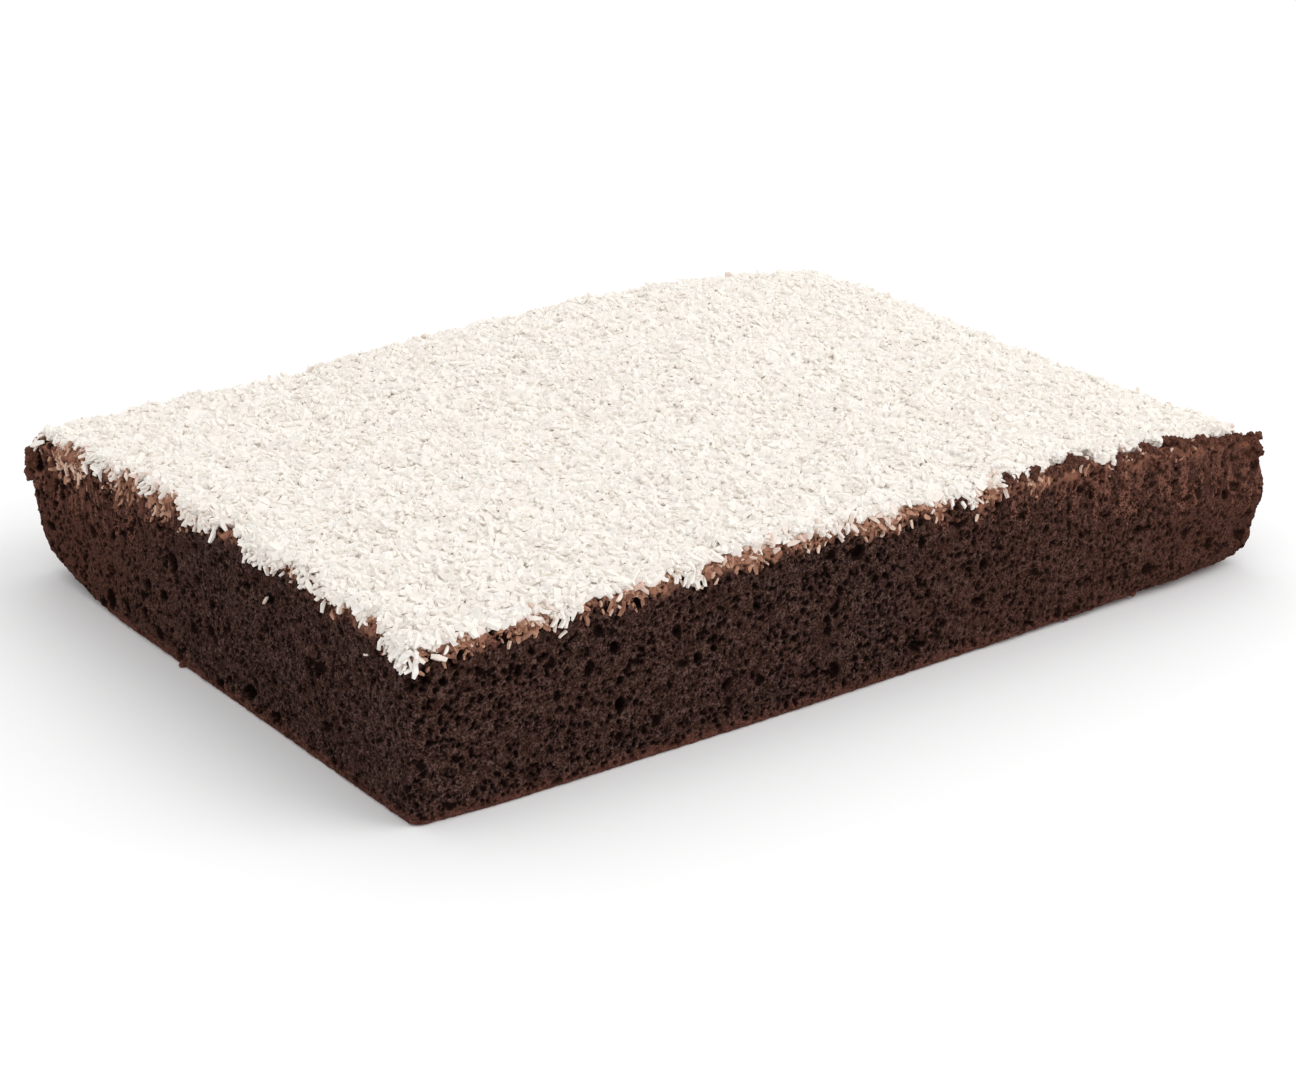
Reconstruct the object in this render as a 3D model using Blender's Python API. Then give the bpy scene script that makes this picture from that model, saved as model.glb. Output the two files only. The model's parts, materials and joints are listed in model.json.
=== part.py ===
"""Coconut cake square: a whole flat bake of dark chocolate sponge under a layer of coconut shreds.

Metres, +Z up. The origin is the middle of the flat base, +X runs along the longer side and +Y
along the shorter one. The cake is domed, highest near its middle, and its corners droop. Two
solids make it: the sponge, with its pores and torn crumbs, and the coconut layer that lies on it.
"""

import math
import random

import bmesh
import bpy
from mathutils import Euler, Matrix, Vector, noise

# Driving dimensions of the whole cake
LENGTH = 0.250
WIDTH = 0.178

# Sponge heights at the corners: near left, near right, far right, far left
CORNER_HEIGHTS = (0.0402, 0.0344, 0.0337, 0.0360)
# How far each edge rises above the line between its corners, and how much the rise leans to +X or +Y
FRONT_RISE, FRONT_LEAN = 0.0042, 0.45
BACK_RISE, BACK_LEAN = 0.0038, 1.54
LEFT_RISE, LEFT_LEAN = 0.0038, -0.35
RIGHT_RISE, RIGHT_LEAN = -0.0011, -2.28
RISE_POWER = 2.3

# Upright corners, in the same order: their radius in plan, how far the lower edge curls up
# there, and how far along the sides that curl reaches. The near left corner was cut sharp.
CORNER_RADII = (0.0026, 0.0024, 0.0070, 0.0026)
CORNER_CURLS = (0.0002, 0.0046, 0.0035, 0.0078)
CURL_REACHES = (0.010, 0.120, 0.050, 0.048)
CURL_HEIGHT_SHARE = 1.6
CURL_INSET_SHARE = 2.6
CORE_MARGIN = 0.045
LOWER_EDGE_RADIUS = 0.0009
RIM_RADIUS = 0.0018
RIM_RISE = 0.0008
RIGHT_SIDE_SWELL = 0.0026

# How the cuts stray from a rectangle: the near side bows out along its left part, and the far left
# and near right corners flare, each by (x, y) at the corner and less and less out to its reach
NEAR_BOW = 0.0013
NEAR_BOW_SPAN = (-0.125, -0.100, -0.045, 0.030)
FAR_LEFT_FLARE, FAR_LEFT_FLARE_REACH = (-0.0013, 0.0010), 0.055
NEAR_RIGHT_FLARE, NEAR_RIGHT_FLARE_REACH = (0.0015, 0.0002), 0.050

# How finely the outline and the sections are divided
ARC_STEPS = 4
LONG_SIDE_STEPS = 28
SHORT_SIDE_STEPS = 20
LOWER_EDGE_TURNS = (0, 35, 65, 90)
SIDE_LEVELS = (0.30, 0.55, 0.80, 1.0)
TOP_SHRINKS = (0.14, 0.45, 0.80)

# Unevenness of the baked and the cut surfaces
SURFACE_WAVE, SURFACE_WAVE_SPAN = 0.0005, 0.050
SIDE_RELIEF, SIDE_RELIEF_SPAN = 0.0006, 0.012
TORN_RELIEF = 0.0012
RIM_RAGGED, RIM_RAGGED_SPAN = 0.0007, 0.009

# Pores in the sides and crumbs that stand out from them
PORE_COUNT = 30
PORE_RADII = (0.0011, 0.0021)
CRUMB_COUNT = 15
CRUMB_RADII = (0.0010, 0.0017)
FAR_LEFT_CRUMB_RADIUS = 0.0042
NEAR_RIGHT_CRUMB_RADIUS = 0.0024

# The coconut layer
NODE_GAP = 0.0003
LAYER_THICKNESS = 0.0021
LAYER_BUMP, LAYER_BUMP_SPAN = 0.0007, 0.011
LAYER_OVERHANG = 0.0006
SHRED_LENGTHS = (0.0036, 0.0054)
SHRED_WIDTHS = (0.0012, 0.0017)
SHRED_THICKNESS = 0.0010
SHRED_TIP_SHARE = 0.55
TOP_SHRED_SPACING = 0.0195
TOP_SHRED_LIFT = 0.0003
RIM_SHRED_SPACING = 0.0077

SPONGE_COLOUR = (0.032, 0.020, 0.015, 1.0)
COCONUT_COLOUR = (0.86, 0.83, 0.77, 1.0)


def clear_scene():
    for old in list(bpy.data.objects):
        bpy.data.objects.remove(old)


def new_collection(name):
    made = bpy.data.collections.new(name)
    bpy.context.scene.collection.children.link(made)
    return made


def finish(name, colour, roughness):
    """A Principled material of one colour."""
    material = bpy.data.materials.new(name)
    material.use_nodes = True
    shader = material.node_tree.nodes["Principled BSDF"]
    shader.inputs["Base Color"].default_value = colour
    shader.inputs["Roughness"].default_value = roughness
    shader.inputs["Metallic"].default_value = 0.0
    return material


def between(pair, share):
    """The value that lies share of the way from a pair's first number to its second."""
    return pair[0] + (pair[1] - pair[0]) * share


def wave(x, y, z, span):
    """Smooth unevenness between about -1 and 1, whose bumps are about span apart."""
    return 2.0 * noise.noise(Vector((x, y, z)) / span)


def edge_rise(rise, lean, along):
    """Rise of one edge above the line between its corners, for along from -1 to 1."""
    along = min(1.0, max(-1.0, along))
    return rise * (1 - abs(along) ** RISE_POWER) * (1 + lean * along)


def top_height(spot):
    """Height of the sponge's domed top over a point of the plan."""
    across, along = 2 * spot.x / LENGTH, 2 * spot.y / WIDTH
    right, back = (across + 1) / 2, (along + 1) / 2
    front_edge = between(CORNER_HEIGHTS[0:2], right)
    back_edge = between((CORNER_HEIGHTS[3], CORNER_HEIGHTS[2]), right)
    length_rises = (edge_rise(FRONT_RISE, FRONT_LEAN, across), edge_rise(BACK_RISE, BACK_LEAN, across))
    width_rises = (edge_rise(LEFT_RISE, LEFT_LEAN, along), edge_rise(RIGHT_RISE, RIGHT_LEAN, along))
    height = between((front_edge, back_edge), back) + between(length_rises, back) + between(width_rises, right)
    return height + SURFACE_WAVE * wave(spot.x, spot.y, 0, SURFACE_WAVE_SPAN)


def outline():
    """Plan of the cake as (point, outward normal) pairs, counter-clockwise from the near left corner."""
    signs = ((-1, -1), (1, -1), (1, 1), (-1, 1))
    centres = []
    for (sx, sy), radius in zip(signs, CORNER_RADII):
        centres.append(Vector((sx * (LENGTH / 2 - radius), sy * (WIDTH / 2 - radius))))
    found = []
    for turn, (centre, radius) in enumerate(zip(centres, CORNER_RADII)):
        for step in range(ARC_STEPS + 1):
            angle = math.pi + (turn + step / ARC_STEPS) * math.pi / 2
            normal = Vector((math.cos(angle), math.sin(angle)))
            found.append((centre + normal * radius, normal))
        after = (turn + 1) % 4
        start, end = centre + normal * radius, centres[after] + normal * CORNER_RADII[after]
        steps = LONG_SIDE_STEPS if turn % 2 == 0 else SHORT_SIDE_STEPS
        found += [(start.lerp(end, i / steps), normal) for i in range(1, steps)]
    return found


def corner_curl(spot):
    """How far the lower edge curls up over a point of the plan."""
    curl = 0.0
    for most, reach, sx, sy in zip(CORNER_CURLS, CURL_REACHES, (-1, 1, 1, -1), (-1, -1, 1, 1)):
        away = (spot - Vector((sx * LENGTH / 2, sy * WIDTH / 2))).length
        curl += most * max(0.0, 1 - away / reach) ** 2
    return curl


def lower_edge_height(spot):
    return LOWER_EDGE_RADIUS + CURL_HEIGHT_SHARE * corner_curl(spot)


def lower_edge_inset(spot):
    return LOWER_EDGE_RADIUS + CURL_INSET_SHARE * corner_curl(spot)


def right_end_share(spot):
    """1 at the right end, which was torn rather than cut, and 0 over the clean cuts."""
    return min(1.0, max(0.0, (spot.x - LENGTH * 0.30) / (LENGTH * 0.16)))


def inward(spot):
    """The way in from a point of the plan, which turns gradually from one side to the next at a corner."""
    x = min(LENGTH / 2 - CORE_MARGIN, max(CORE_MARGIN - LENGTH / 2, spot.x))
    y = min(WIDTH / 2 - CORE_MARGIN, max(CORE_MARGIN - WIDTH / 2, spot.y))
    return (Vector((x, y)) - spot).normalized()


def side_ring(plan, height_of, inset_of, relief_share):
    """A ring of points round the cake's side, each moved in by its inset and out by the crumb's relief."""
    ring = []
    for point, normal in plan:
        z = height_of(point)
        torn = right_end_share(point)
        upright = max(0.0, 4 * (z / CORNER_HEIGHTS[0]) * (1 - z / CORNER_HEIGHTS[0]))
        relief = between((SIDE_RELIEF, TORN_RELIEF), torn) * wave(point.x, point.y, z, SIDE_RELIEF_SPAN)
        swell = RIGHT_SIDE_SWELL * max(0.0, normal.x) * torn * upright
        spot = point + normal * (relief_share * (relief + swell) - inset_of(point))
        ring.append(Vector((spot.x, spot.y, z)))
    return ring


def lower_edge_ring(plan, turn):
    """A ring on the rounded edge between base and side: turn runs from none at the base to a quarter."""
    ring = side_ring(plan, lambda p: lower_edge_height(p) * (1 - math.cos(turn)), lambda p: 0.0, math.sin(turn))
    for corner, (point, _) in zip(ring, plan):
        corner.xy += inward(point) * lower_edge_inset(point) * (1 - math.sin(turn))
    return ring


def rim_height(spot):
    """Height of the sponge's top at its rim, ragged where the crumb broke away."""
    return top_height(spot) + RIM_RISE + RIM_RAGGED * wave(spot.x, spot.y, 1, RIM_RAGGED_SPAN)


def shoulder_ring(plan, lift):
    """The ring on the rounded rim of the sponge, moved off it by lift."""
    turn_in = 0.3 * RIM_RADIUS
    return side_ring(plan, lambda p: rim_height(p) - turn_in + lift, lambda p: turn_in - lift, 0.4)


def brow_ring(plan, lift):
    """The ring where the rounded rim meets the domed top."""
    return side_ring(plan, lambda p: rim_height(p) + lift, lambda p: RIM_RADIUS, 0.0)


def shrunk_ring(plan, shrink, lift):
    """A ring on the top surface, moved off it by lift: the plan drawn in towards the middle."""
    spots = [point * (1 - shrink) for point, _ in plan]
    return [Vector((spot.x, spot.y, top_height(spot) + lift)) for spot in spots]


def sponge_rings(plan):
    """Sections of the sponge from its flat base up the sides and in over the domed top."""
    rings = [lower_edge_ring(plan, math.radians(degrees)) for degrees in LOWER_EDGE_TURNS]
    for level in SIDE_LEVELS:
        height = lambda p: between((lower_edge_height(p), rim_height(p) - RIM_RADIUS), level)
        rings.append(side_ring(plan, height, lambda p: 0.0, 1.0))
    rings += [shoulder_ring(plan, 0.0), brow_ring(plan, 0.0)]
    return rings + [shrunk_ring(plan, shrink, 0.0) for shrink in TOP_SHRINKS]


def layer_surface(spot):
    """Height of the coconut's bumpy upper surface over a point of the plan."""
    bump = LAYER_BUMP * wave(spot.x, spot.y, 2, LAYER_BUMP_SPAN)
    return top_height(spot) + NODE_GAP + LAYER_THICKNESS + bump


def layer_rings(plan):
    """Sections of the coconut layer: its underside from the middle out, and round its uneven edge."""
    under = [shrunk_ring(plan, shrink, NODE_GAP) for shrink in reversed(TOP_SHRINKS)]
    hang = lambda p: -LAYER_OVERHANG * (1 + wave(p.x, p.y, 3, RIM_RAGGED_SPAN))
    edge = side_ring(plan, lambda p: rim_height(p) + 0.22 * LAYER_THICKNESS, hang, 0.4)
    upper = side_ring(plan, lambda p: layer_surface(p) - 0.2 * LAYER_THICKNESS, lambda p: 0.0009, 0.0)
    return under + [brow_ring(plan, NODE_GAP), shoulder_ring(plan, NODE_GAP), edge, upper]


def loft(rings):
    """A skin through all the rings with the first one filled, and the corners of the last, open one.

    Its four-sided faces are split across their shorter diagonal, so that two skins through the
    same rings run side by side without touching.
    """
    shape = bmesh.new()
    loops = [[shape.verts.new(point) for point in ring] for ring in rings]
    for lower, upper in zip(loops, loops[1:]):
        for i in range(len(lower)):
            j = (i + 1) % len(lower)
            shape.faces.new((lower[i], lower[j], upper[j], upper[i]))
    bmesh.ops.triangulate(shape, faces=shape.faces, quad_method="SHORT_EDGE")
    shape.faces.new(reversed(loops[0]))
    return shape, loops[-1]


def as_object(name, shape, collection, material):
    mesh = bpy.data.meshes.new(name)
    shape.to_mesh(mesh)
    shape.free()
    mesh.materials.append(material)
    made = bpy.data.objects.new(name, mesh)
    collection.objects.link(made)
    return made


def make_sponge(plan, collection, material):
    shape, last = loft(sponge_rings(plan))
    shape.faces.new(last)
    return as_object("sponge", shape, collection, material)


def make_layer(plan, collection, material):
    """The coconut layer, whose top is an even grid that is filled in and then raised to the bumps."""
    shape, last = loft(layer_rings(plan))
    edge_count = len(last)
    first = ARC_STEPS // 2
    long_count = LONG_SIDE_STEPS + ARC_STEPS
    back = first + edge_count // 2
    rails = [last[(start + i) % edge_count] for start in (first, back) for i in range(long_count + 1)]
    edges = [shape.edges.get(rails[i : i + 2]) for i in range(len(rails) - 1) if i != long_count]
    made = bmesh.ops.grid_fill(shape, edges=edges)
    rim = set(last)
    for corner in {corner for face in made["faces"] for corner in face.verts} - rim:
        corner.co.z = layer_surface(corner.co)
    bmesh.ops.recalc_face_normals(shape, faces=shape.faces)
    return as_object("coconut_layer", shape, collection, material)


def lump(name, centre, radii, collection, material, dice):
    """A small rounded body with unequal radii, turned at random: a crumb, or the air in a pore."""
    shape = bmesh.new()
    bmesh.ops.create_icosphere(shape, subdivisions=1, radius=1.0)
    turn = Euler([dice.uniform(0, math.tau) for _ in range(3)]).to_matrix().to_4x4()
    place = Matrix.Translation(centre) @ turn @ Matrix.Diagonal((*radii, 1.0))
    bmesh.ops.transform(shape, matrix=place, verts=shape.verts)
    return as_object(name, shape, collection, material)


def shred(name, centre, turn, collection, material, dice):
    """One coconut shred: a flat sliver, narrower at one end."""
    shape = bmesh.new()
    bmesh.ops.create_cube(shape, size=1.0)
    for corner in shape.verts:
        if corner.co.x > 0:
            corner.co.y *= SHRED_TIP_SHARE
            corner.co.z *= SHRED_TIP_SHARE
    size = (dice.uniform(*SHRED_LENGTHS), dice.uniform(*SHRED_WIDTHS), SHRED_THICKNESS, 1.0)
    place = Matrix.Translation(centre) @ turn.to_4x4() @ Matrix.Diagonal(size)
    bmesh.ops.transform(shape, matrix=place, verts=shape.verts)
    return as_object(name, shape, collection, material)


def bodies(shape):
    """The separate bodies of a mesh, each as the set of its corners."""
    left, found = set(shape.verts), []
    while left:
        edge, body = [left.pop()], set()
        while edge:
            corner = edge.pop()
            body.add(corner)
            touching = {link.other_vert(corner) for link in corner.link_edges} & left
            left -= touching
            edge += touching
        found.append(body)
    return found


def apply_boolean(target, collection, operation):
    """Joins or cuts target with all of a collection, applies it, and drops the cutters and loose scraps."""
    modifier = target.modifiers.new(operation.title(), "BOOLEAN")
    modifier.operation = operation
    modifier.operand_type = "COLLECTION"
    modifier.collection = collection
    modifier.solver = "MANIFOLD"
    graph = bpy.context.evaluated_depsgraph_get()
    joined = bpy.data.meshes.new_from_object(target.evaluated_get(graph))
    target.modifiers.remove(modifier)
    shape = bmesh.new()
    shape.from_mesh(joined)
    scraps = sorted(bodies(shape), key=len)[:-1]
    bmesh.ops.delete(shape, geom=[corner for scrap in scraps for corner in scrap], context="VERTS")
    shape.to_mesh(joined)
    shape.free()
    target.data = joined
    for used in list(collection.objects):
        bpy.data.objects.remove(used)
    bpy.data.collections.remove(collection)


def cut_pores(sponge, plan, material):
    """Cuts the larger air holes into the sides, spread evenly along them and at random heights."""
    dice = random.Random(11)
    holes = new_collection("pore_cutters")
    for i in range(PORE_COUNT):
        point, normal = plan[int((i + dice.uniform(0.2, 0.8)) / PORE_COUNT * len(plan))]
        radius = dice.uniform(*PORE_RADII)
        z = between((0.30, 0.78), dice.random()) * top_height(point)
        spot = point - normal * radius * 0.25
        radii = (radius, radius * dice.uniform(0.75, 1.0), radius * dice.uniform(0.9, 1.25))
        lump(f"pore_{i}", Vector((spot.x, spot.y, z)), radii, holes, material, dice)
    apply_boolean(sponge, holes, "DIFFERENCE")


def add_crumbs(sponge, plan, material):
    """Fuses crumbs on below the rim, and larger torn ones at the far left and near right corners."""
    dice = random.Random(23)
    crumbs = new_collection("crumbs")
    for i in range(CRUMB_COUNT):
        point, normal = plan[int((i + dice.uniform(0.3, 0.7)) / CRUMB_COUNT * len(plan))]
        radius = dice.uniform(*CRUMB_RADII)
        z = rim_height(point) - RIM_RADIUS - dice.uniform(1.4, 2.6) * radius
        spot = point - normal * radius * 0.25
        lump(f"crumb_{i}", Vector((spot.x, spot.y, z)), (radius, radius * 0.85, radius * 0.75), crumbs, material, dice)
    for side, radius in ((-1, FAR_LEFT_CRUMB_RADIUS), (1, NEAR_RIGHT_CRUMB_RADIUS)):
        corner = Vector((side * (LENGTH / 2 - 0.0006), -side * (WIDTH / 2 - 0.0006)))
        z = top_height(corner) - RIM_RADIUS - 1.05 * radius
        radii = (radius, radius * 0.85, radius * 0.95)
        lump(f"corner_crumb_{side}", Vector((corner.x, corner.y, z)), radii, crumbs, material, dice)
    apply_boolean(sponge, crumbs, "UNION")


def top_shred_places(dice):
    """Spots of a jittered grid over the top, with a tilted sliver's turn for each."""
    span = (LENGTH - 0.014, WIDTH - 0.014)
    columns, rows = (int(side / TOP_SHRED_SPACING) for side in span)
    for column in range(columns):
        for row in range(rows):
            x = ((column + dice.uniform(0.2, 0.8)) / columns - 0.5) * span[0]
            y = ((row + dice.uniform(0.2, 0.8)) / rows - 0.5) * span[1]
            tilt = -math.radians(dice.uniform(14, 38))
            turn = Euler((dice.uniform(-0.3, 0.3), tilt, dice.uniform(0, math.tau)), "XYZ").to_matrix()
            yield Vector((x, y, layer_surface(Vector((x, y))) + TOP_SHRED_LIFT)), turn


def rim_shred_places(plan, dice):
    """Spots along the layer's edge, with slivers that lean out and down over the sponge."""
    count = int(2 * (LENGTH + WIDTH) / RIM_SHRED_SPACING)
    for i in range(count):
        point, normal = plan[int((i + dice.uniform(0.2, 0.8)) / count * len(plan)) % len(plan)]
        lean = math.radians(dice.uniform(-5, 55))
        heading = math.atan2(normal.y, normal.x) + dice.uniform(-0.7, 0.7)
        spot = point - normal * dice.uniform(0.0002, 0.0010)
        z = rim_height(point) + NODE_GAP + LAYER_THICKNESS * dice.uniform(0.35, 0.65)
        yield Vector((spot.x, spot.y, z)), Euler((dice.uniform(-0.4, 0.4), lean, heading), "XYZ").to_matrix()


def fuse_shreds(layer, plan, material):
    """Joins the largest shreds to the coconut layer: along its edge, and evenly over its top."""
    dice = random.Random(37)
    shreds = new_collection("shreds")
    places = list(rim_shred_places(plan, dice)) + list(top_shred_places(dice))
    for i, (centre, turn) in enumerate(places):
        shred(f"shred_{i}", centre, turn, shreds, material, dice)
    apply_boolean(layer, shreds, "UNION")


def ramp(low, high, value):
    """Rises smoothly from 0 at low to 1 at high."""
    share = min(1.0, max(0.0, (value - low) / (high - low)))
    return share * share * (3 - 2 * share)


def stray(spot):
    """How far the cuts stray from the rectangle there, as (x, y)."""
    start, full, fade, end = NEAR_BOW_SPAN
    bow = NEAR_BOW * ramp(start, full, spot.x) * (1 - ramp(fade, end, spot.x)) * ramp(0.0, -WIDTH / 2, spot.y)
    shift = Vector((0.0, -bow))
    flares = ((-1, FAR_LEFT_FLARE, FAR_LEFT_FLARE_REACH), (1, NEAR_RIGHT_FLARE, NEAR_RIGHT_FLARE_REACH))
    for side, flare, reach in flares:
        away = math.hypot(spot.x - side * LENGTH / 2, spot.y + side * WIDTH / 2)
        shift += Vector(flare) * max(0.0, 1 - away / reach) ** 2
    return shift


def stray_from_rectangle(parts):
    for part in parts:
        for corner in part.data.vertices:
            corner.co.xy += stray(corner.co)


def centre_on_base(parts):
    """Moves the parts together so that the origin is the middle of the whole cake's base."""
    corners = [corner.co for part in parts for corner in part.data.vertices]
    low = Vector(min(c[axis] for c in corners) for axis in range(3))
    high = Vector(max(c[axis] for c in corners) for axis in range(3))
    shift = Matrix.Translation((-(low.x + high.x) / 2, -(low.y + high.y) / 2, -low.z))
    for part in parts:
        part.data.transform(shift)


def main():
    clear_scene()
    cake = new_collection("coconut_cake_square")
    plan = outline()
    crumb_finish = finish("chocolate_sponge", SPONGE_COLOUR, 0.92)
    coconut_finish = finish("coconut", COCONUT_COLOUR, 0.70)
    sponge = make_sponge(plan, cake, crumb_finish)
    cut_pores(sponge, plan, crumb_finish)
    add_crumbs(sponge, plan, crumb_finish)
    layer = make_layer(plan, cake, coconut_finish)
    fuse_shreds(layer, plan, coconut_finish)
    stray_from_rectangle([sponge, layer])
    centre_on_base([sponge, layer])


main()
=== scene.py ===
"""Coconut cake square as it looks: porous chocolate sponge under a layer of loose coconut shreds."""

import json
import math
import random

import bmesh
import bpy
import numpy as np
from mathutils import Euler, Matrix, Vector, noise

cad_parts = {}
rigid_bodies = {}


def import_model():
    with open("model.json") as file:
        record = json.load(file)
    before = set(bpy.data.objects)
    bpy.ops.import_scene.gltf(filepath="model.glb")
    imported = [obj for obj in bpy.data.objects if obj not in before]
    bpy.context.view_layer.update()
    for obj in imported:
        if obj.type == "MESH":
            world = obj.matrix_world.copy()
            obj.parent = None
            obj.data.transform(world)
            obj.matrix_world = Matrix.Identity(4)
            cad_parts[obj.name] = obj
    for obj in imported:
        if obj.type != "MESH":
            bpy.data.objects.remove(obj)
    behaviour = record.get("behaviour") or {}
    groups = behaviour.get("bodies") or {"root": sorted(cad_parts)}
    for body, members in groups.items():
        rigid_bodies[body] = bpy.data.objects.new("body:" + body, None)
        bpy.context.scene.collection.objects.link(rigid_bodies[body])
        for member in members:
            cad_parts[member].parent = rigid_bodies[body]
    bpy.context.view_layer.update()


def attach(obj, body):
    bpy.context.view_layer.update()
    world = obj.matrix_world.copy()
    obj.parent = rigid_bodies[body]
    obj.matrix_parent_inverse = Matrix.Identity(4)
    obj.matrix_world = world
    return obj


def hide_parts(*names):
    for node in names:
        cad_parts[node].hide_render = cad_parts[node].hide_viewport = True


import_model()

# ---- The cake's form in metres, worked out about the middle of its plan ----
LENGTH = 0.250
WIDTH = 0.178
HALF_X, HALF_Y = LENGTH / 2, WIDTH / 2
PLAN_SHIFT = (-0.0001955, -0.0003607)

CORNER_HEIGHTS = (0.0402, 0.0344, 0.0337, 0.0360)
# How far each side's top rises between its corners, and its lean to one end
FRONT, BACK, LEFT, RIGHT = (0.0042, 0.45), (0.0038, 1.54), (0.0038, -0.35), (-0.0011, -2.28)
RISE_POWER = 2.3

CORNER_RADII = (0.0026, 0.0024, 0.0070, 0.0026)
CORNER_CURLS = (0.0002, 0.0046, 0.0035, 0.0078)
CURL_REACHES = (0.010, 0.120, 0.050, 0.048)
CURL_HEIGHT_SHARE = 1.6
CURL_INSET_SHARE = 2.6
CORE_MARGIN = 0.045
LOWER_EDGE_RADIUS = 0.0009
RIM_RADIUS = 0.0018
RIM_RISE = 0.0008
RIGHT_SIDE_SWELL = 0.0026
NEAR_BOW = 0.0013
NEAR_BOW_SPAN = (-0.125, -0.100, -0.045, 0.030)
# How the cuts flare at the far left and the near right corner: side, shift and reach
FLARES = ((-1, (-0.0013, 0.0010), 0.055), (1, (0.0015, 0.0002), 0.050))

SURFACE_WAVE, SURFACE_WAVE_SPAN = 0.0005, 0.050
SIDE_RELIEF, SIDE_RELIEF_SPAN = 0.0006, 0.012
TORN_RELIEF = 0.0012
RELIEF_FADES = (0.004, 0.003)
RIM_RAGGED, RIM_RAGGED_SPAN = 0.0007, 0.009

LAYER_LIFT = 0.0024
LAYER_BUMP, LAYER_BUMP_SPAN = 0.0006, 0.011
NEAR_LEFT_TUFT_REACH = 0.010

# How far the coconut stops short of the edges: most, and reach at the corners
GAP_MOST, GAP_FADE = 0.0034, 0.014
GAP_START, GAP_RUN = 0.034, 0.026
LEFT_GAP_MOST = 0.0011
NEAR_RIGHT_GAP = (0.0020, 0.012)
NEAR_RIGHT_BARE = (0.0030, 0.014)
FAR_LEFT_BARE = (0.0020, 0.012)
FAR_LEFT_DROP = (0.0012, 0.010)

# Where the glaze soaked in, and where it didn't
LEFT_END_REACH = 0.012
DRY_END, DRY_RUN, DRY_SHARE = 0.040, 0.045, 0.8
FADE_START, FADE_RUN, FADE_SHARE = 0.060, 0.065, 0.5

# Uneven shares: where each starts from, and its waves as (strength, layer, span)
NEAR_GAP_WAVES = (0.75, ((1.3, 5, 0.0085), (1.3, 8, 0.0032)))
LEFT_GAP_WAVES = (0.45, ((1.5, 15, 0.0042), (0.9, 16, 0.0019)))
GLAZE_WAVES = (0.60, ((0.9, 13, 0.010), (0.6, 14, 0.0035)))
CORE_WAVES = (0.0, ((0.00040, 3, 0.0048), (0.00020, 9, 0.0024)))
HEM_WAVES = (0.0, ((1.0, 4, 0.0065), (0.6, 7, 0.0023)))
BAND_WAVES = (0.0, ((1.6, 6, 0.012), (1.2, 10, 0.004)))

# ---- How finely each surface is made ----
SIDE_SPACINGS = (0.00030, 0.00060, 0.00060, 0.00032)
CORNER_STEPS, LOWER_EDGE_STEPS, UPRIGHT_STEPS, RIM_STEPS = 6, 8, 6, 5
PROFILE_ROWS = 130
CORE_SPACING = 0.0011
BAND_SPACING = 0.0012


def between(low, high, share):
    return low + (high - low) * share


def clamped(value):
    return min(1.0, max(0.0, value))


def fading(most, reach, away):
    """Most at a place, and evenly less down to nothing at reach away from it."""
    return most * max(0.0, 1 - away / reach)


def wave(x, y, z, span):
    """Smooth unevenness between about -1 and 1, whose bumps are about span apart."""
    return 2.0 * noise.noise(Vector((x / span, y / span, z / span)))


def uneven(shares, x, y):
    """A value that starts from one share and strays from it by several waves."""
    value, waves = shares
    for strength, layer, span in waves:
        value += strength * wave(x, y, layer, span)
    return value


def edge_rise(rise, lean, along):
    along = min(1.0, max(-1.0, along))
    return rise * (1 - abs(along) ** RISE_POWER) * (1 + lean * along)


def top_height(x, y):
    """Height of the sponge's domed top."""
    across, along = 2 * x / LENGTH, 2 * y / WIDTH
    right, back = (across + 1) / 2, (along + 1) / 2
    near_left, near_right, far_right, far_left = CORNER_HEIGHTS
    flat = between(between(near_left, near_right, right), between(far_left, far_right, right), back)
    near_rise, far_rise = edge_rise(*FRONT, across), edge_rise(*BACK, across)
    left_rise, right_rise = edge_rise(*LEFT, along), edge_rise(*RIGHT, along)
    domed = flat + between(near_rise, far_rise, back) + between(left_rise, right_rise, right)
    return domed + SURFACE_WAVE * wave(x, y, 0, SURFACE_WAVE_SPAN)


def rim_height(x, y):
    """Height of the sponge's top at its rim, ragged where the crumb broke away."""
    return top_height(x, y) + RIM_RISE + RIM_RAGGED * wave(x, y, 1, RIM_RAGGED_SPAN)


def layer_height(x, y):
    """Height that the coconut's surface keeps about."""
    return top_height(x, y) + LAYER_LIFT + LAYER_BUMP * wave(x, y, 2, LAYER_BUMP_SPAN)


def corner_curl(x, y):
    """How far the lower edge curls up there."""
    curl = 0.0
    for most, reach, sx, sy in zip(CORNER_CURLS, CURL_REACHES, (-1, 1, 1, -1), (-1, -1, 1, 1)):
        away = math.hypot(x - sx * HALF_X, y - sy * HALF_Y)
        curl += most * max(0.0, 1 - away / reach) ** 2
    return curl


def inward(x, y):
    """The way in from the outline, which turns gradually from one side to the next at a corner."""
    cx = min(HALF_X - CORE_MARGIN, max(CORE_MARGIN - HALF_X, x))
    cy = min(HALF_Y - CORE_MARGIN, max(CORE_MARGIN - HALF_Y, y))
    away = math.hypot(cx - x, cy - y)
    return (cx - x) / away, (cy - y) / away


def right_end_share(x):
    """1 at the right end, which was torn rather than cut, and 0 over the clean cuts."""
    return clamped((x - LENGTH * 0.30) / (LENGTH * 0.16))


def near_gap(x):
    """How far the coconut stops short of the near edge: ragged, and only along that side's right part."""
    along = clamped((x - GAP_START) / GAP_RUN)
    ragged = max(0.0, uneven(NEAR_GAP_WAVES, x, 0))
    return GAP_MOST * along * ragged + fading(*NEAR_RIGHT_GAP, HALF_X - x)


def left_gap(y):
    """How far the coconut stops short of the left edge, in small notches."""
    return LEFT_GAP_MOST * max(0.0, uneven(LEFT_GAP_WAVES, 0, y))


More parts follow.
